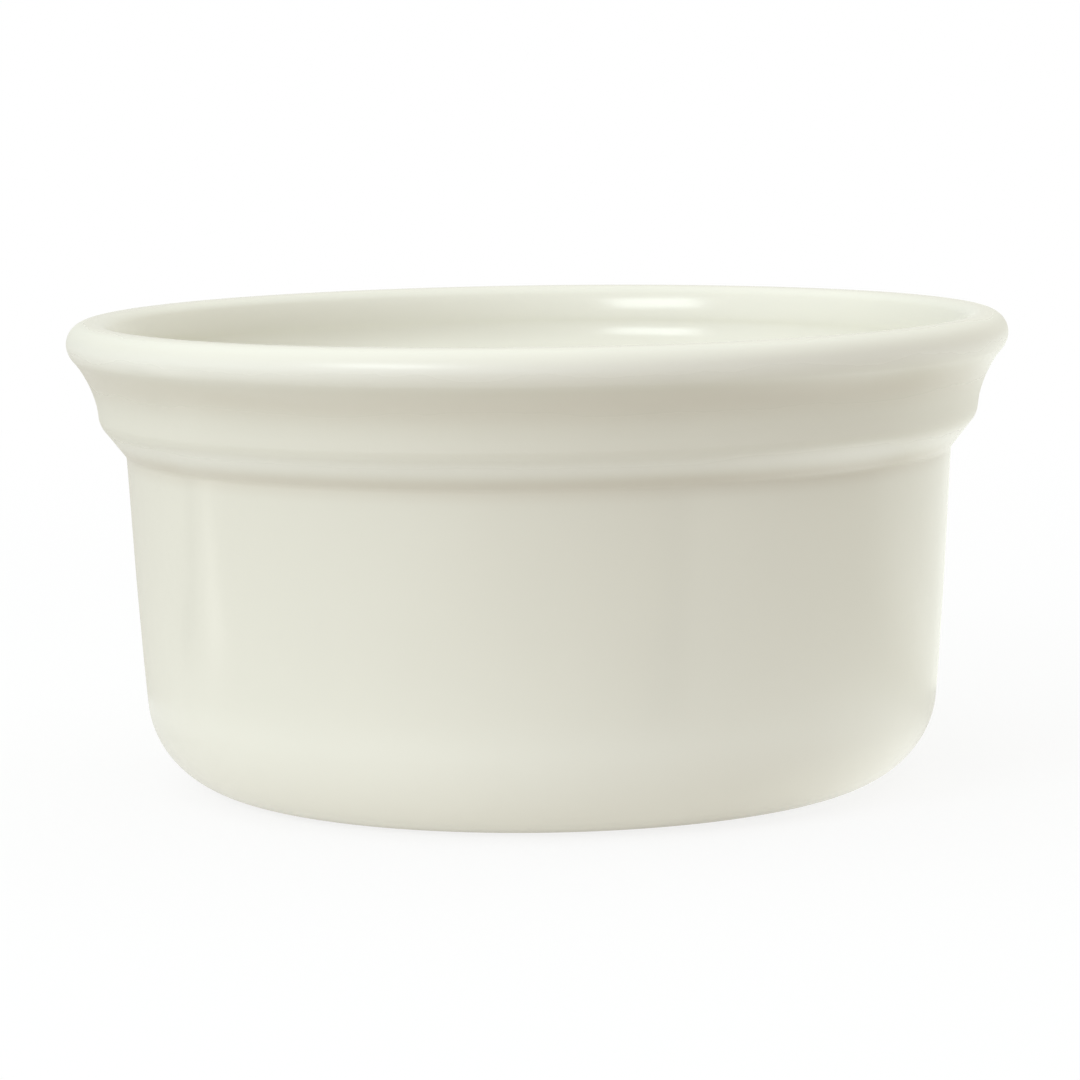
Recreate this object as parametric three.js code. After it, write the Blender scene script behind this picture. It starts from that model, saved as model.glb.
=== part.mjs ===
// Individual casserole dish: a round, one-piece dish of vitrified china. A full-round lip flares out over a
// stepped collar, and below it a slightly bowed, tapering wall runs down to a wide rounded heel. A fired glaze
// covers the dish inside and out, and a second patch of it covers the hollow underneath. The foot ring between
// the two is wiped bare so that the dish doesn't stick to the kiln shelf.
// Millimetres, +Z up, with the origin on the table under the middle of the dish.

import * as THREE from "three";

// Finished size, over the glaze
const RIM_DIAMETER = 120;
const HEIGHT = 60;

// Lip and the flare under it
const LIP_THICKNESS = 6;
const LIP_ROUND = 2.75;
const CREST_ROUND = 1.95; // from the top of the lip into its gentle inner edge
const INNER_EDGE_DEPTH = 2.84;
const INNER_EDGE_ANGLE = 25; // degrees from upright
const INNER_EDGE_ROUND = 8.4;
const FLARE_REACH = 4; // how far the lip stands out past the edge of the collar
const FLARE_ANGLE = 42; // degrees from upright
const FLARE_ROUND = 12;

// Collar: the thicker band under the flare, stepped in to the wall below
const COLLAR_DEPTH = 12.9; // from the top of the lip to the collar's lower edge
const COLLAR_LEAN = 7; // degrees from upright
const COLLAR_EDGE_ROUND = 2.6;
const STEP_IN = 3.3;
const STEP_DOWN = 4.2;
const CREASE_ROUND = 1.2;

// Wall and heel
const WALL_THICKNESS = 4.7; // at the crease
const UPPER_DRAFT = 3.1; // degrees from upright
const LOWER_DRAFT = 4.6;
const BOW_ROUND = 400; // eases the upper wall into the lower one
const HEEL_ROUND = 12;

// Inside
const FLOOR_THICKNESS = 4.2;
const INSIDE_DRAFT = 4; // degrees from upright
const INSIDE_HEEL_ROUND = 10;
const THROAT_DEPTH = 6.4; // from the top of the lip to where the inside starts to narrow
const THROAT_ROUND = 5.6;
const SHOULDER_DROP = 9; // from there down to the shoulder at the top of the inside wall
const SHOULDER_ROUND = 8;

// Foot ring and the hollow inside it
const FOOT_WIDTH = 3.5;
const FOOT_ROUND = 0.6;
const HOLLOW_DEPTH = 1.6;
const HOLLOW_SLOPE = 1.2; // how far the side of the hollow leans in over its depth
const HOLLOW_ROUND = 0.5;

// Glaze
const GLAZE_THICKNESS = 0.3;
const GLAZE_LINE = 0.35; // height of the glaze's lower edge above the table
const GLAZE_MARGIN = 0.4; // bare border between the patch underneath and the side of the hollow

// Facets
const FACETS_AROUND = 52;
const CHORD_ERROR = 0.12;
const COARSEST_STEP = 30; // degrees of turn along an arc
const SHORTEST_EDGE = 0.02;

const slope = (degrees) => Math.tan(THREE.MathUtils.degToRad(degrees));
const direction = (angle) => new THREE.Vector2(Math.cos(angle), Math.sin(angle));
const corner = (radius, height, round = 0) => ({ at: new THREE.Vector2(radius, height), round });

// An outline lies in the plane of radius and height and runs with the air on its left.
// cornerArcs gives the arc that rounds each inner corner, tangent to both legs there. Where two arcs need more
// than the leg between them, both give way. An arc's angles are those of the surface normal, towards the air.
function cornerArcs(corners) {
  const legs = corners.slice(1).map(({ at }, i) => at.clone().sub(corners[i].at));
  const turns = legs.slice(1).map((leg, i) => {
    const turn = leg.angle() - legs[i].angle();
    return Math.atan2(Math.sin(turn), Math.cos(turn));
  });
  const halfTurns = turns.map((turn) => Math.tan(Math.abs(turn) / 2));
  const wanted = halfTurns.map((tangent, i) => corners[i + 1].round * tangent);
  const fits = legs.map((leg, i) => {
    const needed = (wanted[i - 1] ?? 0) + (wanted[i] ?? 0);
    return Math.min(1, leg.length() / needed);
  });
  return turns.map((turn, i) => {
    const tangent = wanted[i] * Math.min(fits[i], fits[i + 1]);
    const radius = tangent / halfTurns[i];
    const side = Math.sign(turn);
    const heading = legs[i].angle();
    const from = heading + Math.PI / 2;
    const centre = corners[i + 1].at
      .clone()
      .addScaledVector(direction(heading), -tangent)
      .addScaledVector(direction(from), side * radius);
    return { centre, radius, side, from, to: from + turn };
  });
}

// Points along the arcs, each with its surface normal. Straight stretches lie between one arc and the next.
function surfacePoints(arcs) {
  const all = arcs.flatMap(({ centre, radius, side, from, to }) => {
    const trueStep = 2 * Math.acos(1 - CHORD_ERROR / radius);
    const widestStep = Math.min(trueStep, THREE.MathUtils.degToRad(COARSEST_STEP));
    const steps = Math.ceil(Math.abs(to - from) / widestStep);
    return Array.from({ length: steps + 1 }, (_, k) => {
      const normal = direction(THREE.MathUtils.lerp(from, to, k / steps));
      return { at: centre.clone().addScaledVector(normal, -side * radius), normal };
    });
  });
  return all.filter(({ at }, i) => i === 0 || at.distanceTo(all[i - 1].at) > SHORTEST_EDGE);
}

// A solid of revolution about Z, from an outline that starts and ends on the axis with the solid on its left.
function turned(outline) {
  return new THREE.LatheGeometry(outline, FACETS_AROUND).rotateX(Math.PI / 2);
}

// Corners of the glazed surface, from the middle of the floor, up the inside, over the lip and down the outside
const rimRadius = RIM_DIAMETER / 2;
const lipRound = Math.min(LIP_ROUND, LIP_THICKNESS / 2);
const underLip = HEIGHT - lipRound - lipRound * slope(FLARE_ANGLE / 2);

const collarRadius = rimRadius - FLARE_REACH;
const collarEdge = HEIGHT - COLLAR_DEPTH;
const flareRise =
  (rimRadius - collarRadius - (underLip - collarEdge) * slope(FLARE_ANGLE)) /
  (slope(COLLAR_LEAN) - slope(FLARE_ANGLE));
const flareRadius = collarRadius + flareRise * slope(COLLAR_LEAN);

const wallRadius = collarRadius - STEP_IN;
const crease = collarEdge - STEP_DOWN;
const bow = crease / 2;
const bowRadius = wallRadius - (crease - bow) * slope(UPPER_DRAFT);
const heelRadius = bowRadius - bow * slope(LOWER_DRAFT);

const floor = HOLLOW_DEPTH + FLOOR_THICKNESS;
const insideRadius = (height) => wallRadius - WALL_THICKNESS - (crease - height) * slope(INSIDE_DRAFT);
const throatRadius = rimRadius - LIP_THICKNESS;
const throat = HEIGHT - THROAT_DEPTH;
const shoulder = throat - SHOULDER_DROP;

const arcs = cornerArcs([
  corner(0, floor),
  corner(insideRadius(floor), floor, INSIDE_HEEL_ROUND),
  corner(insideRadius(shoulder), shoulder, SHOULDER_ROUND),
  corner(throatRadius, throat, THROAT_ROUND),
  corner(throatRadius, HEIGHT - INNER_EDGE_DEPTH, INNER_EDGE_ROUND),
  corner(throatRadius + INNER_EDGE_DEPTH * slope(INNER_EDGE_ANGLE), HEIGHT, CREST_ROUND),
  corner(rimRadius, HEIGHT, lipRound),
  corner(rimRadius, underLip, lipRound),
  corner(flareRadius, collarEdge + flareRise, FLARE_ROUND),
  corner(collarRadius, collarEdge, COLLAR_EDGE_ROUND),
  corner(wallRadius, crease, CREASE_ROUND),
  corner(bowRadius, bow, BOW_ROUND),
  corner(heelRadius, 0, HEEL_ROUND),
  corner(0, 0),
]);

// The heel would run on to the table, but its glaze stops at the glaze line
const heel = arcs.at(-1);
heel.to += Math.acos(1 - GLAZE_LINE / heel.radius);

const surface = surfacePoints(arcs);
const glazed = surface.map(({ at }) => at);
const underGlaze = surface.map(({ at, normal }) => at.clone().addScaledVector(normal, -GLAZE_THICKNESS));

// Bare foot ring, from the glaze line round to the ceiling of the hollow
const footOuter = heel.centre.x;
const footInner = footOuter - FOOT_WIDTH;
const footSurface = surfacePoints(
  cornerArcs([
    { at: underGlaze.at(-1), round: 0 },
    corner(footOuter, 0, FOOT_ROUND),
    corner(footInner, 0, FOOT_ROUND),
    corner(footInner - HOLLOW_SLOPE, HOLLOW_DEPTH, HOLLOW_ROUND),
    corner(0, HOLLOW_DEPTH),
  ]),
);
const foot = footSurface.map(({ at }) => at);

const dish = new THREE.Group();

function addPart(name, outline, finish) {
  const part = new THREE.Mesh(turned(outline), new THREE.MeshStandardMaterial(finish));
  part.name = name;
  dish.add(part);
}

// China body: floor, wall, collar, flare and lip in one casting, standing on its bare foot ring
const bodyOutline = [
  new THREE.Vector2(0, floor - GLAZE_THICKNESS),
  ...underGlaze,
  ...foot,
  new THREE.Vector2(0, HOLLOW_DEPTH),
].reverse();
addPart("china_body", bodyOutline, { color: 0xdcd8cb, roughness: 0.75, metalness: 0 });

// Glaze coat: one unbroken layer over the inside, the lip and the outside, down to the glaze line
const coatOutline = [
  new THREE.Vector2(0, floor - GLAZE_THICKNESS),
  ...underGlaze,
  ...glazed.toReversed(),
  new THREE.Vector2(0, floor),
];
addPart("glaze_coat", coatOutline, { color: 0xeae9dc, roughness: 0.12, metalness: 0 });

// Base glaze: the patch on the ceiling of the hollow, with its edge drawn in
const patchRadius = foot.at(-1).x - GLAZE_MARGIN;
const patchOutline = [
  new THREE.Vector2(0, HOLLOW_DEPTH - GLAZE_THICKNESS),
  new THREE.Vector2(patchRadius - GLAZE_THICKNESS, HOLLOW_DEPTH - GLAZE_THICKNESS),
  new THREE.Vector2(patchRadius, HOLLOW_DEPTH),
  new THREE.Vector2(0, HOLLOW_DEPTH),
];
addPart("base_glaze", patchOutline, { color: 0xeae9dc, roughness: 0.15, metalness: 0 });

export default dish;
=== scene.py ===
# %% [markdown]
# A single-portion casserole dish is one casting of vitrified china under an ivory glaze. It has no lid
# and no moving parts, so all that the eye gets is the sweep of one turned outline and the gloss of the
# glaze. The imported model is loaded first: it is the fixed frame, in metres, that every piece is
# modelled in.

# %% Load the frame
import math

import bpy
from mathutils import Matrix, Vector


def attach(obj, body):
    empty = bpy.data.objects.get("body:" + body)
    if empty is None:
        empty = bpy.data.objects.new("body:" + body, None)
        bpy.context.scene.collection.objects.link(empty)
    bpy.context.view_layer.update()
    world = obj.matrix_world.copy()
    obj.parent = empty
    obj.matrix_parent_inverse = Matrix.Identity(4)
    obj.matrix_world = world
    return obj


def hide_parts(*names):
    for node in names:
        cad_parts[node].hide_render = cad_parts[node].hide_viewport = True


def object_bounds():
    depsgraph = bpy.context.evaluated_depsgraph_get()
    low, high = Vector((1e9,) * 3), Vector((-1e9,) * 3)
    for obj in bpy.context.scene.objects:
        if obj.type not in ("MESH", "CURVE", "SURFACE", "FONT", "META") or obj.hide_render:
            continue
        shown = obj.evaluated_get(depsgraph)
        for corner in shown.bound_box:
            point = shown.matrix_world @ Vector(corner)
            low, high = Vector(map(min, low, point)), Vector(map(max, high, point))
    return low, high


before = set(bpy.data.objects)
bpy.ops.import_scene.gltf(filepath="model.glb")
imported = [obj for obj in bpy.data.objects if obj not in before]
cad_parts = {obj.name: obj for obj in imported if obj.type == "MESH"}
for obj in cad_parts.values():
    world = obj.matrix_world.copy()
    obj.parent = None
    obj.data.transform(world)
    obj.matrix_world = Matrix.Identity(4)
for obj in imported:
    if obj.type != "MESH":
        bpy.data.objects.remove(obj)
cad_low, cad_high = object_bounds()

MM = 0.001
rim_radius = cad_high.x
height = cad_high.z
print(f"frame: {rim_radius * 2 / MM:.1f} mm across the rim, {height / MM:.1f} mm high")

# %% [markdown]
# The camera comes before any modelling, so that each piece can be judged in the view that matters. The
# dish was taken with a long lens from a little above the rim: the ellipse of the mouth is thin and the
# wall hardly converges. The picture leans by less than a degree, which is put into the camera, not the
# dish.

# %% Camera
CAMERA_AIM = Vector((0, 0, 30.8 * MM))
CAMERA_DISTANCE = 572 * MM
CAMERA_ELEVATION = math.radians(6.87)
CAMERA_ROLL = math.radians(-0.81)
CAMERA_LENS = 148.2
CAMERA_NEAR = 10 * MM

toward_camera = Vector((0, -math.cos(CAMERA_ELEVATION), math.sin(CAMERA_ELEVATION)))
camera = bpy.data.objects.new("camera", bpy.data.cameras.new("camera"))
bpy.context.scene.collection.objects.link(camera)
bpy.context.scene.camera = camera
camera.location = CAMERA_AIM + CAMERA_DISTANCE * toward_camera
camera.rotation_euler = toward_camera.to_track_quat("Z", "Y").to_euler()
camera.rotation_euler.rotate_axis("Z", CAMERA_ROLL)
camera.data.lens = CAMERA_LENS
camera.data.clip_start = CAMERA_NEAR
print("camera at", [round(value, 4) for value in camera.location])

# %% [markdown]
# The shape of the dish is one outline in the plane of radius and height. A potter would cut it as a
# template and turn the clay against it. Here it is a list of corners with the radius that rounds each
# one, from the middle of the floor, up the inside, over the lip and down the outside to the table.
# Straight legs and true corners are easy to measure, and the rounding comes afterwards as a bevel.

# %% Corners of the outline
LIP_THICKNESS = 6 * MM
LIP_ROUND = 2.75 * MM
CREST_ROUND = 1.95 * MM
INNER_EDGE_DEPTH = 2.84 * MM
INNER_EDGE_ANGLE = 25
INNER_EDGE_ROUND = 8.4 * MM
FLARE_REACH = 4 * MM
FLARE_ANGLE = 42
FLARE_ROUND = 12 * MM
COLLAR_DEPTH = 12.9 * MM
COLLAR_LEAN = 7
COLLAR_EDGE_ROUND = 2.6 * MM
STEP_IN = 3.3 * MM
STEP_DOWN = 4.2 * MM
CREASE_ROUND = 1.2 * MM
WALL_THICKNESS = 4.7 * MM
UPPER_DRAFT = 3.1
LOWER_DRAFT = 4.6
BOW_ROUND = 400 * MM
HEEL_ROUND = 12 * MM
INSIDE_DRAFT = 4
INSIDE_HEEL_ROUND = 10 * MM
THROAT_DEPTH = 6.4 * MM
THROAT_ROUND = 5.6 * MM
SHOULDER_DROP = 9 * MM
SHOULDER_ROUND = 8 * MM
HOLLOW_DEPTH = 1.6 * MM
FLOOR_THICKNESS = 4.2 * MM


def slope(degrees):
    return math.tan(math.radians(degrees))


under_lip = height - LIP_ROUND * (1 + slope(FLARE_ANGLE / 2))
collar_radius = rim_radius - FLARE_REACH
collar_edge = height - COLLAR_DEPTH
flare_run = FLARE_REACH - (under_lip - collar_edge) * slope(FLARE_ANGLE)
flare_rise = flare_run / (slope(COLLAR_LEAN) - slope(FLARE_ANGLE))
flare_radius = collar_radius + flare_rise * slope(COLLAR_LEAN)
wall_radius = collar_radius - STEP_IN
crease = collar_edge - STEP_DOWN
bow = crease / 2
bow_radius = wall_radius - (crease - bow) * slope(UPPER_DRAFT)
heel_radius = bow_radius - bow * slope(LOWER_DRAFT)
floor_top = HOLLOW_DEPTH + FLOOR_THICKNESS
throat_radius = rim_radius - LIP_THICKNESS
throat = height - THROAT_DEPTH
shoulder = throat - SHOULDER_DROP


def inside_radius(level):
    return wall_radius - WALL_THICKNESS - (crease - level) * slope(INSIDE_DRAFT)


outline = [
    (0, floor_top, 0),
    (inside_radius(floor_top), floor_top, INSIDE_HEEL_ROUND),
    (inside_radius(shoulder), shoulder, SHOULDER_ROUND),
    (throat_radius, throat, THROAT_ROUND),
    (throat_radius, height - INNER_EDGE_DEPTH, INNER_EDGE_ROUND),
    (throat_radius + INNER_EDGE_DEPTH * slope(INNER_EDGE_ANGLE), height, CREST_ROUND),
    (rim_radius, height, LIP_ROUND),
    (rim_radius, under_lip, LIP_ROUND),
    (flare_radius, collar_edge + flare_rise, FLARE_ROUND),
    (collar_radius, collar_edge, COLLAR_EDGE_ROUND),
    (wall_radius, crease, CREASE_ROUND),
    (bow_radius, bow, BOW_ROUND),
    (heel_radius, 0, HEEL_ROUND),
    (0, 0, 0),
]
print(len(outline), "corners from the floor to the foot")

# %% [markdown]
# Blender's operators act on whatever is selected, so three small helpers keep the selection honest: one
# opens a single piece in edit mode, one selects its points by place, and one prints what was made.

# %% Helpers for selecting and measuring
def edit(piece):
    bpy.ops.object.mode_set(mode="OBJECT")
    bpy.ops.object.select_all(action="DESELECT")
    piece.select_set(True)
    bpy.context.view_layer.objects.active = piece
    bpy.ops.object.mode_set(mode="EDIT")
    bpy.ops.mesh.select_mode(type="VERT")


def select(piece, wanted):
    bpy.ops.object.mode_set(mode="OBJECT")
    mesh = piece.data
    for part in (*mesh.vertices, *mesh.edges, *mesh.polygons):
        part.select = False
    for vertex in mesh.vertices:
        vertex.select = wanted(vertex.co)
    bpy.ops.object.mode_set(mode="EDIT")
    bpy.ops.mesh.select_mode(type="VERT")


def measure(piece):
    bpy.ops.object.mode_set(mode="OBJECT")
    low = [min(v.co[axis] for v in piece.data.vertices) / MM for axis in range(3)]
    high = [max(v.co[axis] for v in piece.data.vertices) / MM for axis in range(3)]
    spans = " x ".join(f"{b - a:.2f}" for a, b in zip(low, high))
    print(f"{piece.name}: {spans} mm, from z {low[2]:.2f}, {len(piece.data.polygons)} faces")


# %% [markdown]
# The outline is drawn by extruding one vertex from corner to corner. Every corner is then rounded with
# a vertex bevel, whose offset is the tangent length of an arc of the wanted radius. Long straight legs
# are subdivided, so that the surface has points to carry its small unevenness.

# %% Glaze surface: draw and round the outline
ARC_STEP = math.radians(4)
FEWEST_ARC_STEPS = 4
LONGEST_EDGE = 2 * MM
WELD = 0.002 * MM


def corner_turn(before, corner, after):
    first = math.atan2(corner[1] - before[1], corner[0] - before[0])
    second = math.atan2(after[1] - corner[1], after[0] - corner[0])
    return abs(math.remainder(second - first, math.tau))


def draw_outline(name, corners):
    bpy.ops.object.select_all(action="DESELECT")
    bpy.ops.mesh.primitive_plane_add(size=MM)
    piece = bpy.context.object
    piece.name = piece.data.name = name
    bpy.ops.object.mode_set(mode="EDIT")
    bpy.ops.mesh.merge(type="CENTER")
    bpy.ops.transform.translate(value=(corners[0][0], 0, corners[0][1]))
    for start, end in zip(corners, corners[1:]):
        step = (end[0] - start[0], 0, end[1] - start[1])
        bpy.ops.mesh.extrude_region_move(TRANSFORM_OT_translate={"value": step})
    return piece


def round_corners(piece, corners):
    for before, corner, after in zip(corners, corners[1:], corners[2:]):
        turn = corner_turn(before, corner, after)
        here = Vector((corner[0], 0, corner[1]))
        select(piece, lambda place: (place - here).length < WELD)
        bpy.ops.mesh.bevel(
            affect="VERTICES",
            offset=corner[2] * math.tan(turn / 2),
            segments=max(FEWEST_ARC_STEPS, math.ceil(turn / ARC_STEP)),
        )
    bpy.ops.mesh.select_all(action="SELECT")
    bpy.ops.mesh.remove_doubles(threshold=WELD)


def subdivide_long_legs(piece):
    bpy.ops.object.mode_set(mode="OBJECT")
    mesh = piece.data
    legs = [[mesh.vertices[index].co.copy() for index in edge.vertices] for edge in mesh.edges]
    for start, end in legs:
        cuts = math.ceil((end - start).length / LONGEST_EDGE) - 1
        if cuts > 0:
            select(piece, lambda place: min((place - start).length, (place - end).length) < WELD)
            bpy.ops.mesh.subdivide(number_cuts=cuts)


glaze = draw_outline("ivory_glaze_coat", outline)
round_corners(glaze, outline)
subdivide_long_legs(glaze)
measure(glaze)

# %% [markdown]
# A spin turns the outline into a surface. It leaves a seam of doubled points and may face the wrong
# way, so both are put right while the surface is still closed. The glaze doesn't reach the table: the
# foot is wiped bare before firing, or the dish would stick to the kiln shelf. A bisect takes away all
# below the glaze line.

# %% Glaze surface: spin and trim
SPIN_STEPS = 256
GLAZE_LINE = 0.35 * MM

edit(glaze)
bpy.ops.mesh.select_all(action="SELECT")
bpy.ops.mesh.spin(steps=SPIN_STEPS, angle=math.tau, center=(0, 0, 0), axis=(0, 0, 1))
bpy.ops.mesh.select_all(action="SELECT")
bpy.ops.mesh.remove_doubles(threshold=WELD)
bpy.ops.mesh.normals_make_consistent(inside=False)
bpy.ops.mesh.bisect(plane_co=(0, 0, GLAZE_LINE), plane_no=(0, 0, 1), clear_inner=True)
measure(glaze)

# %% [markdown]
# Pressed and fired china is never as true as a lathe would leave it. A displace modifier with soft
# clouds moves the surface by a few hundredths of a millimetre over spans of some centimetres. That is
# too little to see as a shape, but it keeps the reflections from running dead straight. All of it goes
# inwards, to stay inside the frame.

# %% Glaze surface: the small unevenness of firing
WAVE = 0.03 * MM
WAVE_SPAN = 32 * MM

clouds = bpy.data.textures.new("firing_waves", "CLOUDS")
clouds.noise_scale = WAVE_SPAN
clouds.noise_depth = 0
wave = glaze.modifiers.new("firing_waves", "DISPLACE")
wave.texture = clouds
wave.texture_coords = "LOCAL"
wave.strength = WAVE
wave.mid_level = 1
bpy.context.view_layer.objects.active = glaze
bpy.ops.object.modifier_apply(modifier=wave.name)
measure(glaze)

# %% [markdown]
# The china body fills the glaze exactly, so it is made from a copy of the same surface, shrunk by the
# thickness of the glaze. Its open edge is extruded on over the bare foot ring and into the shallow
# hollow underneath, and closed there. The hollow lets the dish stand on a ring, which rocks less than a
# flat base would on a table that isn't quite flat.

# %% China body
GLAZE_THICKNESS = 0.3 * MM
FOOT_OUTER = 38.74 * MM
FOOT_WIDTH = 3.5 * MM
FOOT_ROUND = 0.6 * MM
HOLLOW_SLOPE = 1.2 * MM
HOLLOW_ROUND = 0.5 * MM
FOOT_ARC_STEPS = 4
RADIUS_SLACK = 0.2 * MM
LEVEL_SLACK = 0.01 * MM


def ring_radius(piece):
    bpy.ops.object.mode_set(mode="OBJECT")
    radii = [vertex.co.xy.length for vertex in piece.data.vertices if vertex.select]
    bpy.ops.object.mode_set(mode="EDIT")
    return sum(radii) / len(radii)


def extrude_ring(piece, radius, level):
    bpy.ops.mesh.extrude_region_move(TRANSFORM_OT_translate={"value": (0, 0, 0)})
    scale = radius / ring_radius(piece)
    bpy.ops.transform.resize(value=(scale, scale, 0), center_override=(0, 0, 0))
    bpy.ops.transform.translate(value=(0, 0, level))


def round_ring(piece, radius, level, offset):
    def on_ring(place):
        return abs(place.xy.length - radius) < RADIUS_SLACK and abs(place.z - level) < LEVEL_SLACK

    select(piece, on_ring)
    bpy.ops.mesh.bevel(affect="EDGES", offset=offset, segments=FOOT_ARC_STEPS)


edit(glaze)
bpy.ops.object.mode_set(mode="OBJECT")
bpy.ops.object.duplicate()
body = bpy.context.object
body.name = body.data.name = "bare_china_body"
edit(body)
bpy.ops.mesh.select_all(action="SELECT")
bpy.ops.transform.shrink_fatten(value=-GLAZE_THICKNESS)
bpy.ops.mesh.select_all(action="DESELECT")
bpy.ops.mesh.select_non_manifold()
foot_inner = FOOT_OUTER - FOOT_WIDTH
hollow_radius = foot_inner - HOLLOW_SLOPE
extrude_ring(body, FOOT_OUTER, 0)
extrude_ring(body, foot_inner, 0)
extrude_ring(body, hollow_radius, HOLLOW_DEPTH)
bpy.ops.mesh.edge_face_add()
hollow_turn = math.atan2(HOLLOW_DEPTH, HOLLOW_SLOPE)
round_ring(body, foot_inner, 0, FOOT_ROUND * math.tan(hollow_turn / 2))
round_ring(body, hollow_radius, HOLLOW_DEPTH, HOLLOW_ROUND * math.tan(hollow_turn / 2))
bpy.ops.mesh.select_all(action="SELECT")
bpy.ops.mesh.normals_make_consistent(inside=False)
measure(body)

# %% [markdown]
# The lower edge of a real glaze wanders a little where the sponge wiped it, and surface tension rolls
# it. The open edge is moved to and fro along the heel by a sum of three waves, each with its count
# around the dish, its share and its start. Then a solidify modifier gives the coat its thickness
# inwards, as far as the china, and a small bevel rolls the edge over.

# %% Glaze coat: edge and thickness
LINE_WANDER = 0.22 * MM
LINE_WAVES = ((5, 0.5, 0.7), (9, 0.3, 2.1), (17, 0.2, 4.4))
ROLLED_EDGE = 0.16 * MM
ROLL_STEPS = 3
SHARP_ABOVE = math.radians(60)


def line_shift(angle):
    waves = (share * math.sin(count * angle + start) for count, share, start in LINE_WAVES)
    return LINE_WANDER * sum(waves)


edge_lean = math.acos(1 - GLAZE_LINE / HEEL_ROUND)
for vertex in glaze.data.vertices:
    if abs(vertex.co.z - GLAZE_LINE) < WAVE:
        angle = math.atan2(vertex.co.y, vertex.co.x)
        outward = Vector((math.cos(angle), math.sin(angle), 0))
        along_heel = math.cos(edge_lean) * outward + Vector((0, 0, math.sin(edge_lean)))
        vertex.co += line_shift(angle) * along_heel

coat = glaze.modifiers.new("coat", "SOLIDIFY")
coat.thickness = GLAZE_THICKNESS
coat.offset = -1
bpy.context.view_layer.objects.active = glaze
bpy.ops.object.modifier_apply(modifier=coat.name)
edit(glaze)
bpy.ops.mesh.select_all(action="DESELECT")
bpy.ops.mesh.edges_select_sharp(sharpness=SHARP_ABOVE)
bpy.ops.mesh.bevel(affect="EDGES", offset=ROLLED_EDGE, segments=ROLL_STEPS)
measure(glaze)

# %% [markdown]
# Underneath, the ceiling of the hollow is glazed too, as a separate patch: the wiped foot ring lies
# between the two. It is a flat disc, extruded by the thickness of the glaze, with its lower edge drawn
# in and rounded.

# %% Base glaze
BASE_GLAZE_RADIUS = 33.3 * MM

bpy.ops.object.mode_set(mode="OBJECT")
bpy.ops.object.select_all(action="DESELECT")
bpy.ops.mesh.primitive_circle_add(vertices=SPIN_STEPS, radius=BASE_GLAZE_RADIUS, fill_type="NGON")
base = bpy.context.object
base.name = base.data.name = "base_glaze_patch"
edit(base)
bpy.ops.mesh.select_all(action="SELECT")
bpy.ops.transform.translate(value=(0, 0, HOLLOW_DEPTH))
bpy.ops.mesh.extrude_region_move(TRANSFORM_OT_translate={"value": (0, 0, -GLAZE_THICKNESS)})
draw_in = 1 - GLAZE_THICKNESS / BASE_GLAZE_RADIUS
bpy.ops.transform.resize(value=(draw_in, draw_in, 1), center_override=(0, 0, 0))
bpy.ops.mesh.bevel(affect="EDGES", offset=ROLLED_EDGE, segments=ROLL_STEPS)
bpy.ops.mesh.select_all(action="SELECT")
bpy.ops.mesh.normals_make_consistent(inside=False)
measure(base)

# %% [markdown]
# Each piece rides on the one body of the frame and stands in for its node there. The material named
# like that node's slot is put on further down. Shading is smooth, except where two faces meet at a real
# edge.

# %% Tie the pieces to the frame
SMOOTH_BELOW = math.radians(35)

for piece, node, slot in (
    (body, "china_body", "bare_china"),
    (glaze, "glaze_coat", "ivory_glaze"),
    (base, "base_glaze", "ivory_glaze"),
):
    bpy.ops.object.select_all(action="DESELECT")
    piece.select_set(True)
    bpy.context.view_layer.objects.active = piece
    bpy.ops.object.shade_smooth_by_angle(angle=SMOOTH_BELOW)
    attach(piece, "root")
    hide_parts(node)
    print(piece.name, "stands in for", node)

# %% [markdown]
# The materials are procedural and use object coordinates, so they stay put on the dish and need no
# pictures. Small helpers keep the node trees short. One makes a node and wires its inputs, one starts a
# material, and the rest each name a common step: a noise, a fade between two values, a blend of two
# colours, or a sum with numbers or vectors.

# %% Helpers for node trees
def add(tree, kind, inputs, **settings):
    made = tree.nodes.new(kind)
    for name, value in settings.items():
        setattr(made, name, value)
    for key, value in inputs.items():
        if isinstance(value, bpy.types.NodeSocket):
            tree.links.new(value, made.inputs[key])
        else:
            made.inputs[key].default_value = value
    return made


def new_material(name):
    material = bpy.data.materials.new(name)
    material.use_nodes = True
    tree = material.node_tree
    shader = tree.nodes["Principled BSDF"]
    place = tree.nodes.new("ShaderNodeTexCoord").outputs["Object"]
    return material, tree, shader, place


def noise(tree, place, span, detail=2.0):
    inputs = {"Vector": place, "Scale": 1 / span, "Detail": detail, "Roughness": 0.5}
    return add(tree, "ShaderNodeTexNoise", inputs).outputs["Fac"]


def fade(tree, value, start, end, low=0.0, high=1.0):
    inputs = {"Value": value, "From Min": start, "From Max": end, "To Min": low, "To Max": high}
    return add(tree, "ShaderNodeMapRange", inputs, interpolation_type="SMOOTHSTEP").outputs["Result"]


# The sockets of a Mix node go by number here, because their names repeat for each type of data
def blend(tree, share, first, second, kind="MIX"):
    inputs = {0: share, 6: first, 7: second}
    return add(tree, "ShaderNodeMix", inputs, data_type="RGBA", blend_type=kind).outputs[2]


def arithmetic(tree, operation, first, second):
    return add(tree, "ShaderNodeMath", {0: first, 1: second}, operation=operation).outputs[0]


def vector(tree, operation, first, second=(0, 0, 0)):
    made = add(tree, "ShaderNodeVectorMath", {0: first, 1: second}, operation=operation)
    single = operation in ("LENGTH", "DISTANCE", "DOT_PRODUCT")
    return made.outputs["Value" if single else "Vector"]


# %% [markdown]
# On a turned dish a place is told best by its radius and its height. Glaze pools and runs thin along
# rings, so these helpers give each point its share of a ring: all on the ring, and nothing beyond its
# reach.

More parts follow.
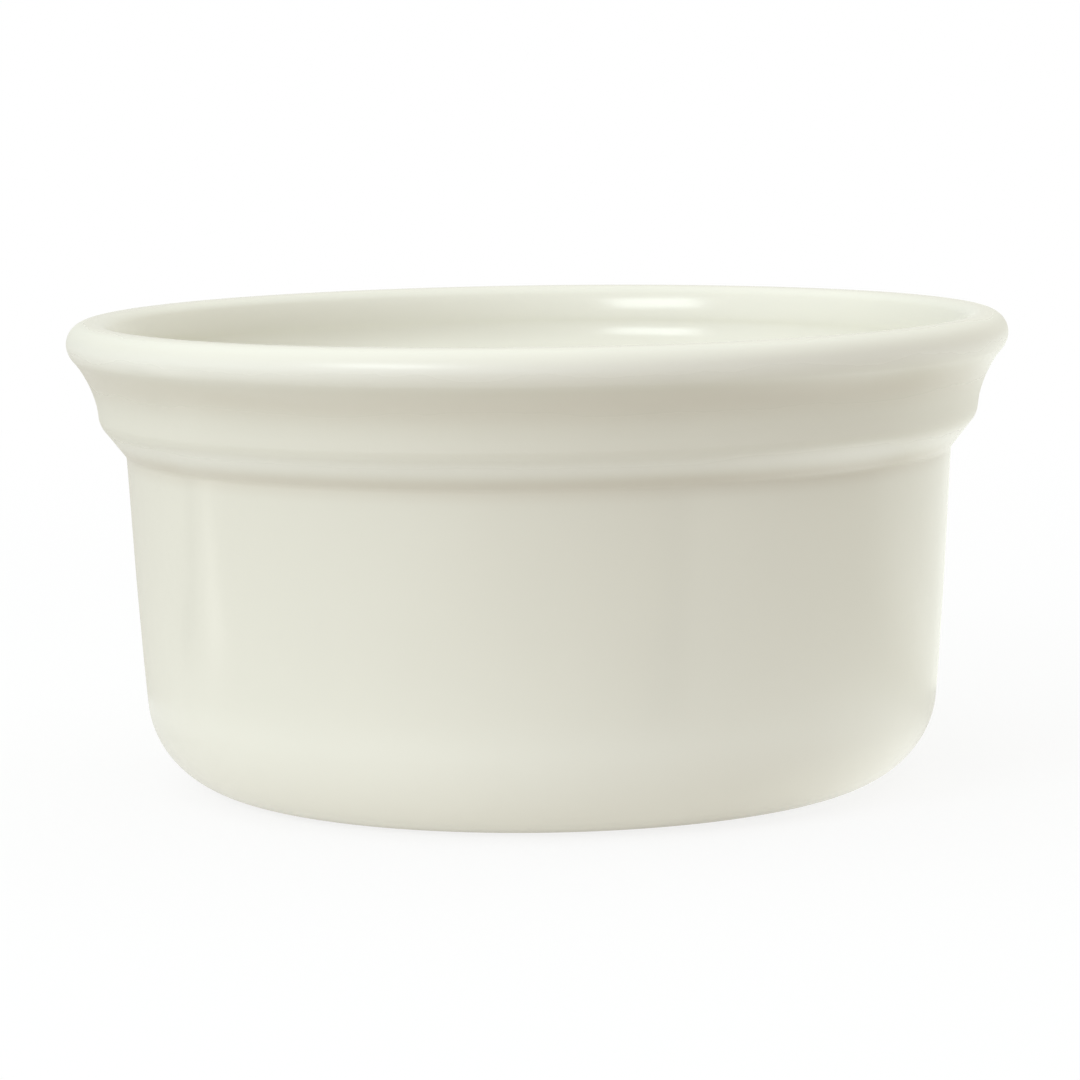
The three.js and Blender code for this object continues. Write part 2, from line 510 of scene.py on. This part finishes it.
# %% Helpers for rings on the turned surface
FLAT = (1, 1, 0)


def turned_place(tree, place):
    radius = vector(tree, "LENGTH", vector(tree, "MULTIPLY", place, FLAT))
    level = add(tree, "ShaderNodeSeparateXYZ", {0: place}).outputs["Z"]
    return add(tree, "ShaderNodeCombineXYZ", {0: radius, 2: level}).outputs[0]


def near_ring(tree, turned, radius, level, reach, share=1.0):
    gap = vector(tree, "DISTANCE", turned, (radius, 0, level))
    return arithmetic(tree, "MULTIPLY", fade(tree, gap, reach, 0), share)


# %% [markdown]
# The glaze is a layer of glass that hides the china under it. Painted shade makes it a shade deeper in
# the crease under the collar, under the lip and in the inside corner, and a little deeper on the crest
# of the lip, where it tones down the bright top. Painted light makes the outside of the lip and the
# lower edge of the collar palest. Broad clouds keep the ivory from being one flat colour.

# %% Ivory glaze: colour
IVORY = (0.830, 0.818, 0.720, 1)
# Painted shade: a deeper ivory laid where the dish's own shading should look darker
IVORY_PAINTED_SHADE = (0.765, 0.735, 0.635, 1)
# Painted light: a paler ivory laid where the dish should look brighter
IVORY_PAINTED_LIGHT = (0.905, 0.90, 0.82, 1)
CLOUD_SPAN = 26 * MM
CLOUD_RANGE = (0.3, 0.7)
CLOUD_SHADE = 0.985

ivory, tree, shader, place = new_material("ivory_glaze")
turned = turned_place(tree, place)
clouds_seen = fade(tree, noise(tree, place, CLOUD_SPAN), *CLOUD_RANGE)
clouded_ivory = (*(CLOUD_SHADE * value for value in IVORY[:3]), 1)
colour = blend(tree, clouds_seen, IVORY, clouded_ivory)

# Painted tone, then the ring: its radius, height, reach and share
painted_shade_and_light_rings = (
    # painted shade: crease, under the lip, inside corner and crest
    (IVORY_PAINTED_SHADE, wall_radius + 0.4 * MM, crease + 0.4 * MM, 2.6 * MM, 1.0),
    (IVORY_PAINTED_SHADE, rim_radius - 2.2 * MM, height - 6.7 * MM, 3.8 * MM, 0.8),
    (IVORY_PAINTED_SHADE, inside_radius(floor_top), floor_top, 9 * MM, 0.5),
    (IVORY_PAINTED_SHADE, rim_radius - 3.0 * MM, height, 2.0 * MM, 0.8),
    # painted light: outside of the lip and edge of the collar
    (IVORY_PAINTED_LIGHT, rim_radius + 0.3 * MM, height - 3.4 * MM, 2.6 * MM, 1.0),
    (IVORY_PAINTED_LIGHT, collar_radius - 1.2 * MM, collar_edge - 1.6 * MM, 2.4 * MM, 1.0),
)
# Each ring blends its painted shade or painted light into the ivory
for tone, *ring in painted_shade_and_light_rings:
    colour = blend(tree, near_ring(tree, turned, *ring), colour, tone)
tree.links.new(colour, shader.inputs["Base Color"])
print(ivory.name, "is toned along", len(painted_shade_and_light_rings), "rings")

# %% [markdown]
# A fired glaze is as smooth as glass, but never quite even. A slow change of gloss and a faint orange
# peel break up the reflections. On the lip and the collar, where the dish is held and stacked, the
# gloss is softer.

# %% Ivory glaze: gloss and orange peel
GLAZE_IOR = 1.52
GLOSS_SPAN = 14 * MM
GLOSS_DETAIL = 4
GLOSS_RANGE = (0.3, 0.7)
GLOSSIEST = 0.15
DULLEST = 0.20
PEEL_SPAN = 3.2 * MM
PEEL_DETAIL = 1
PEEL_DEPTH = 0.006 * MM

gloss_noise = noise(tree, place, GLOSS_SPAN, GLOSS_DETAIL)
gloss = fade(tree, gloss_noise, *GLOSS_RANGE, GLOSSIEST, DULLEST)

# Radius, height and reach of the ring, and the roughness that handling adds there
handled_rings = (
    (rim_radius - 0.8 * MM, height - 1.5 * MM, 4.6 * MM, 0.15),
    (collar_radius, collar_edge + 2 * MM, 6 * MM, 0.22),
)
for ring in handled_rings:
    gloss = arithmetic(tree, "ADD", gloss, near_ring(tree, turned, *ring))
tree.links.new(gloss, shader.inputs["Roughness"])
shader.inputs["IOR"].default_value = GLAZE_IOR
peel_noise = noise(tree, place, PEEL_SPAN, PEEL_DETAIL)
peel = add(tree, "ShaderNodeBump", {"Strength": 1.0, "Distance": PEEL_DEPTH, "Height": peel_noise})
tree.links.new(peel.outputs["Normal"], shader.inputs["Normal"])
print(ivory.name, "has a roughness of", GLOSSIEST, "to", DULLEST, "away from the handled rings")

# %% [markdown]
# Bare vitrified china is a dense, matte, slightly gritty body, a little darker and warmer than the
# glaze. Only the foot ring shows it. Where the ring has been pushed across tables it is rubbed grey and
# a bit smoother.

# %% Bare china
CHINA = (0.70, 0.665, 0.57, 1)
CHINA_GRAIN = (0.62, 0.58, 0.49, 1)
GRAIN_SPAN = 0.5 * MM
GRAIN_DETAIL = 3
GRAIN_RANGE = (0.35, 0.75)
GRAIN_DEPTH = 0.02 * MM
TABLE_RUB = (0.50, 0.485, 0.45, 1)
RUB_SPAN = 6 * MM
RUB_DETAIL = 4
RUB_RANGE = (0.42, 0.68)
RUB_REACH = 0.7 * FOOT_WIDTH
MOST_RUBBED = 0.7
MATTE_ROUGHNESS = 0.82
RUBBED_ROUGHNESS = 0.6

china, tree, shader, place = new_material("bare_china")
turned = turned_place(tree, place)
grain = noise(tree, place, GRAIN_SPAN, GRAIN_DETAIL)
colour = blend(tree, fade(tree, grain, *GRAIN_RANGE), CHINA, CHINA_GRAIN)
standing = near_ring(tree, turned, FOOT_OUTER - FOOT_WIDTH / 2, 0, RUB_REACH)
patches = fade(tree, noise(tree, place, RUB_SPAN, RUB_DETAIL), *RUB_RANGE, 0, MOST_RUBBED)
rub = arithmetic(tree, "MULTIPLY", standing, patches)
roughness = fade(tree, rub, 0, 1, MATTE_ROUGHNESS, RUBBED_ROUGHNESS)
grit = add(tree, "ShaderNodeBump", {"Strength": 1.0, "Distance": GRAIN_DEPTH, "Height": grain})
tree.links.new(blend(tree, rub, colour, TABLE_RUB), shader.inputs["Base Color"])
tree.links.new(roughness, shader.inputs["Roughness"])
tree.links.new(grit.outputs["Normal"], shader.inputs["Normal"])
print(china.name, "has a roughness of", RUBBED_ROUGHNESS, "to", MATTE_ROUGHNESS)

# %% [markdown]
# Both glazes come out of the same bucket, so they share one material, and the china body has its own.
# Every piece starts with an empty list of materials, so that all its faces get the one that is put on.

# %% Put the materials on
for piece, material in ((glaze, ivory), (base, ivory), (body, china)):
    piece.data.materials.clear()
    piece.data.materials.append(material)
    print(piece.name, "wears", material.name)

# %% [markdown]
# The dish stands on a plain white floor that runs on into a white surround, as in a catalogue picture.
# The floor is a stage piece, not part of the dish. It lies a hair below the foot ring, so that the two
# never share a plane.

# %% Floor
FLOOR_SIZE = 6
FLOOR_GAP = 0.02 * MM

bpy.ops.object.select_all(action="DESELECT")
bpy.ops.mesh.primitive_plane_add(size=FLOOR_SIZE, location=(0, 0, -FLOOR_GAP))
floor = bpy.context.object
floor.name = floor.data.name = "floor"
print("floor", FLOOR_SIZE, "m across")

# %% [markdown]
# A glossy dish mirrors what lies around it, so it has to see more than an even white. It stands on a
# pale sheet. In front of the sheet is a dull, warm table. Dark gaps run along the edges of the sheet on
# the left and on the right, with a bright line beside the left one, and the wall mirrors them as faint
# upright lines. Every zone below is a share from 0 to 1: a fade is given by where it starts and where
# it is full, and a strip by its middle and its reach, both measured straight across an edge or away
# from the dish.

# %% Floor: zones that the dish sees
RIGHT_EDGE_TURN = math.radians(40.9)
RIGHT_HALF = (-60 * MM, 60 * MM)
PAST_RIGHT_EDGE = (-21 * MM, -15 * MM)
RIGHT_GAP = (-28 * MM, 13 * MM)
FRONT_EDGE_TURN = math.radians(75.6)
PAST_FRONT_EDGE = (-36 * MM, -46 * MM)
FAR_LEFT = (-115 * MM, -140 * MM)
LEFT_LINE = (-40.8 * MM, 14 * MM)
LEFT_GAP = (-8 * MM, 14 * MM)
NEAR_DISH = (96 * MM, 88 * MM)
NEAR_FOOT = (66 * MM, 56 * MM)
FRONT_HALF = (25 * MM, -25 * MM)


def across_edge(tree, place, turn):
    return vector(tree, "DOT_PRODUCT", place, (math.cos(turn), math.sin(turn), 0))


def strip(tree, value, middle, reach):
    off = arithmetic(tree, "ABSOLUTE", arithmetic(tree, "SUBTRACT", value, middle), 0)
    return fade(tree, off, reach, 0)


def overlap(tree, first, second):
    return arithmetic(tree, "MULTIPLY", first, second)


light_table, tree, shader, place = new_material("light_table")
across, ahead, _ = add(tree, "ShaderNodeSeparateXYZ", {0: place}).outputs
away = vector(tree, "LENGTH", place)
right_edge = across_edge(tree, place, RIGHT_EDGE_TURN)
to_right = fade(tree, across, *RIGHT_HALF)
on_right = overlap(tree, to_right, fade(tree, right_edge, *PAST_RIGHT_EDGE))
right_gap = overlap(tree, to_right, strip(tree, right_edge, *RIGHT_GAP))
front_edge = across_edge(tree, place, FRONT_EDGE_TURN)
in_front = fade(tree, front_edge, *PAST_FRONT_EDGE)
to_left = fade(tree, across, *FAR_LEFT)
left_line = overlap(tree, to_left, strip(tree, front_edge, *LEFT_LINE))
left_gap = overlap(tree, to_left, strip(tree, front_edge, *LEFT_GAP))
near_dish = fade(tree, away, *NEAR_DISH)
near_foot = overlap(tree, fade(tree, away, *NEAR_FOOT), fade(tree, ahead, *FRONT_HALF))
print("light table drawn with", len(tree.nodes), "nodes so far")

# %% [markdown]
# Each zone has a tone and a glow of its own, laid one over the other like cut paper. The glow stands in
# for the light that a bright sheet sends back up under the heel and the flare. A bright spot on the
# right, by the foot, lights the heel from below.

# %% Floor: tones and glows that the dish sees
SHEET = (0.60, 0.60, 0.60, 1)
TABLE = (0.25, 0.25, 0.25, 1)
GAP = (0.10, 0.10, 0.10, 1)
NO_GLOW = (0, 0, 0, 1)
GLOW_LEFT = (0.08, 0.05, 0.00, 1)
GLOW_FRONT = (0.18, 0.13, 0.04, 1)
GLOW_FRONT_LEFT = (0.30, 0.28, 0.22, 1)
GLOW_LINE = (1.00, 0.95, 0.85, 1)
GLOW_RIGHT = (0.09, 0.07, 0.01, 1)
GLOW_BACK = (0.50, 0.51, 0.46, 1)
GLOW_UNDER = (0.23, 0.22, 0.20, 1)
GLOW_FOOT = (0.33, 0.325, 0.31, 1)
GLOW_SPOT = (0.38, 0.41, 0.43, 1)
FRONT_TO_LEFT = (-40 * MM, -140 * MM)
RIGHT_TO_BACK = (-10 * MM, 70 * MM)
SPOT_PLACE = (74 * MM, -20 * MM, 0)
SPOT_FADE = (58 * MM, 8 * MM)

front_glow = blend(tree, fade(tree, across, *FRONT_TO_LEFT), GLOW_FRONT, GLOW_FRONT_LEFT)
right_glow = blend(tree, fade(tree, ahead, *RIGHT_TO_BACK), GLOW_RIGHT, GLOW_BACK)
zones = (
    (in_front, TABLE, front_glow),
    (left_line, SHEET, GLOW_LINE),
    (left_gap, GAP, NO_GLOW),
    (right_gap, GAP, NO_GLOW),
    (on_right, SHEET, right_glow),
    (near_dish, SHEET, GLOW_UNDER),
    (near_foot, SHEET, GLOW_FOOT),
)
tone, glow = SHEET, GLOW_LEFT
for share, zone_tone, zone_glow in zones:
    tone = blend(tree, share, tone, zone_tone)
    glow = blend(tree, share, glow, zone_glow)
in_spot = fade(tree, vector(tree, "DISTANCE", place, SPOT_PLACE), *SPOT_FADE)
glow = blend(tree, in_spot, glow, GLOW_SPOT, kind="ADD")
tree.links.new(tone, shader.inputs["Base Color"])
tree.links.new(glow, shader.inputs["Emission Color"])
shader.inputs["Emission Strength"].default_value = 1
shader.inputs["Roughness"].default_value = 1
shader.inputs["Specular IOR Level"].default_value = 0
print(len(zones), "zones and a bright spot on the floor")

# %% [markdown]
# The Light Path node tells a camera ray from all others. For the camera the floor is white paper, mixed
# with an even white glow so that only a part of the shadow is left, and farther away none of it.

# %% Floor: what the camera sees
PAPER = (0.90, 0.90, 0.90, 1)
PURE_WHITE = (1, 1, 1, 1)
SHADOW_SHOWN = 0.2
SHADOW_REACH = 0.5

paper = add(tree, "ShaderNodeBsdfDiffuse", {"Color": PAPER})
white = add(tree, "ShaderNodeEmission", {"Color": PURE_WHITE, "Strength": 1.0})
whiten = fade(tree, away, 0, SHADOW_REACH, 1 - SHADOW_SHOWN, 1)
seen = add(tree, "ShaderNodeMixShader", {0: whiten, 1: paper.outputs[0], 2: white.outputs[0]})
to_camera = add(tree, "ShaderNodeLightPath", {}).outputs["Is Camera Ray"]
either = add(tree, "ShaderNodeMixShader", {0: to_camera, 1: shader.outputs[0], 2: seen.outputs[0]})
tree.links.new(either.outputs[0], tree.nodes["Material Output"].inputs["Surface"])
floor.data.materials.append(light_table)
print("shadow shown at", SHADOW_SHOWN)

# %% [markdown]
# The room around the dish is brightest in front on the left and behind on the right, dark in front on
# the right, and has a pale ceiling. That turns the wall from light to shade across the dish. Each side
# of the room is given by its degrees to the right of the camera and fades out towards its neighbours.
# To the camera the room is plain white, so that the floor has no horizon.

# %% Surround
CEILING = (1.10, 1.14, 1.11, 1)
CEILING_RANGE = (0.35, 0.85)
SIDES = (
    (-45, (1.19, 1.22, 1.315, 1)),
    (45, (0.28, 0.21, 0.24, 1)),
    (135, (1.00, 1.00, 0.92, 1)),
    (-135, (0.606, 0.616, 0.588, 1)),
)

world = bpy.data.worlds.new("surround")
bpy.context.scene.world = world
world.use_nodes = True
tree = world.node_tree
tree.nodes.clear()
look = tree.nodes.new("ShaderNodeTexCoord").outputs["Generated"]
level_look = vector(tree, "NORMALIZE", vector(tree, "MULTIPLY", look, FLAT))
room = NO_GLOW
for degrees, light in SIDES:
    turn = math.radians(degrees)
    facing = vector(tree, "DOT_PRODUCT", level_look, (math.sin(turn), -math.cos(turn), 0))
    facing = arithmetic(tree, "MAXIMUM", facing, 0)
    room = blend(tree, arithmetic(tree, "MULTIPLY", facing, facing), room, light, kind="ADD")
upward = add(tree, "ShaderNodeSeparateXYZ", {0: look}).outputs["Z"]
room = blend(tree, fade(tree, upward, *CEILING_RANGE), room, CEILING)
soft = add(tree, "ShaderNodeBackground", {"Color": room, "Strength": 1.0})
white = add(tree, "ShaderNodeBackground", {"Color": PURE_WHITE, "Strength": 1.0})
to_camera = add(tree, "ShaderNodeLightPath", {}).outputs["Is Camera Ray"]
either = add(tree, "ShaderNodeMixShader", {0: to_camera, 1: soft.outputs[0], 2: white.outputs[0]})
add(tree, "ShaderNodeOutputWorld", {"Surface": either.outputs[0]})
print("surround of", len(SIDES), "sides and a ceiling")

# %% [markdown]
# In a room this bright one softbox is enough. It is placed by the direction that it lies in as seen
# from the dish: to the right of the camera, above the table, and the distance. It stands in front on
# the left, and the far side of the inside mirrors it as two bright bars.

# %% Key light
KEY_TURN = math.radians(-36.7)
KEY_RISE = math.radians(29)
KEY_DISTANCE = 1.0
KEY_WIDTH = 0.44
KEY_HEIGHT = 0.27
KEY_POWER = 2.1
KEY_TINT = (0.90, 0.975, 1.0)

run = math.cos(KEY_RISE)
toward_key = Vector((math.sin(KEY_TURN) * run, -math.cos(KEY_TURN) * run, math.sin(KEY_RISE)))
lamp = bpy.data.lights.new("key", "AREA")
lamp.shape = "RECTANGLE"
lamp.size = KEY_WIDTH
lamp.size_y = KEY_HEIGHT
lamp.energy = KEY_POWER
lamp.color = KEY_TINT
softbox = bpy.data.objects.new("key", lamp)
bpy.context.scene.collection.objects.link(softbox)
softbox.location = CAMERA_AIM + KEY_DISTANCE * toward_key
softbox.rotation_euler = toward_key.to_track_quat("Z", "Y").to_euler()
print("key light at", [round(value, 3) for value in softbox.location])

# %% [markdown]
# The view transform is the plain one, so a colour renders about as it is written.

# %% View transform
bpy.context.scene.view_settings.view_transform = "Standard"
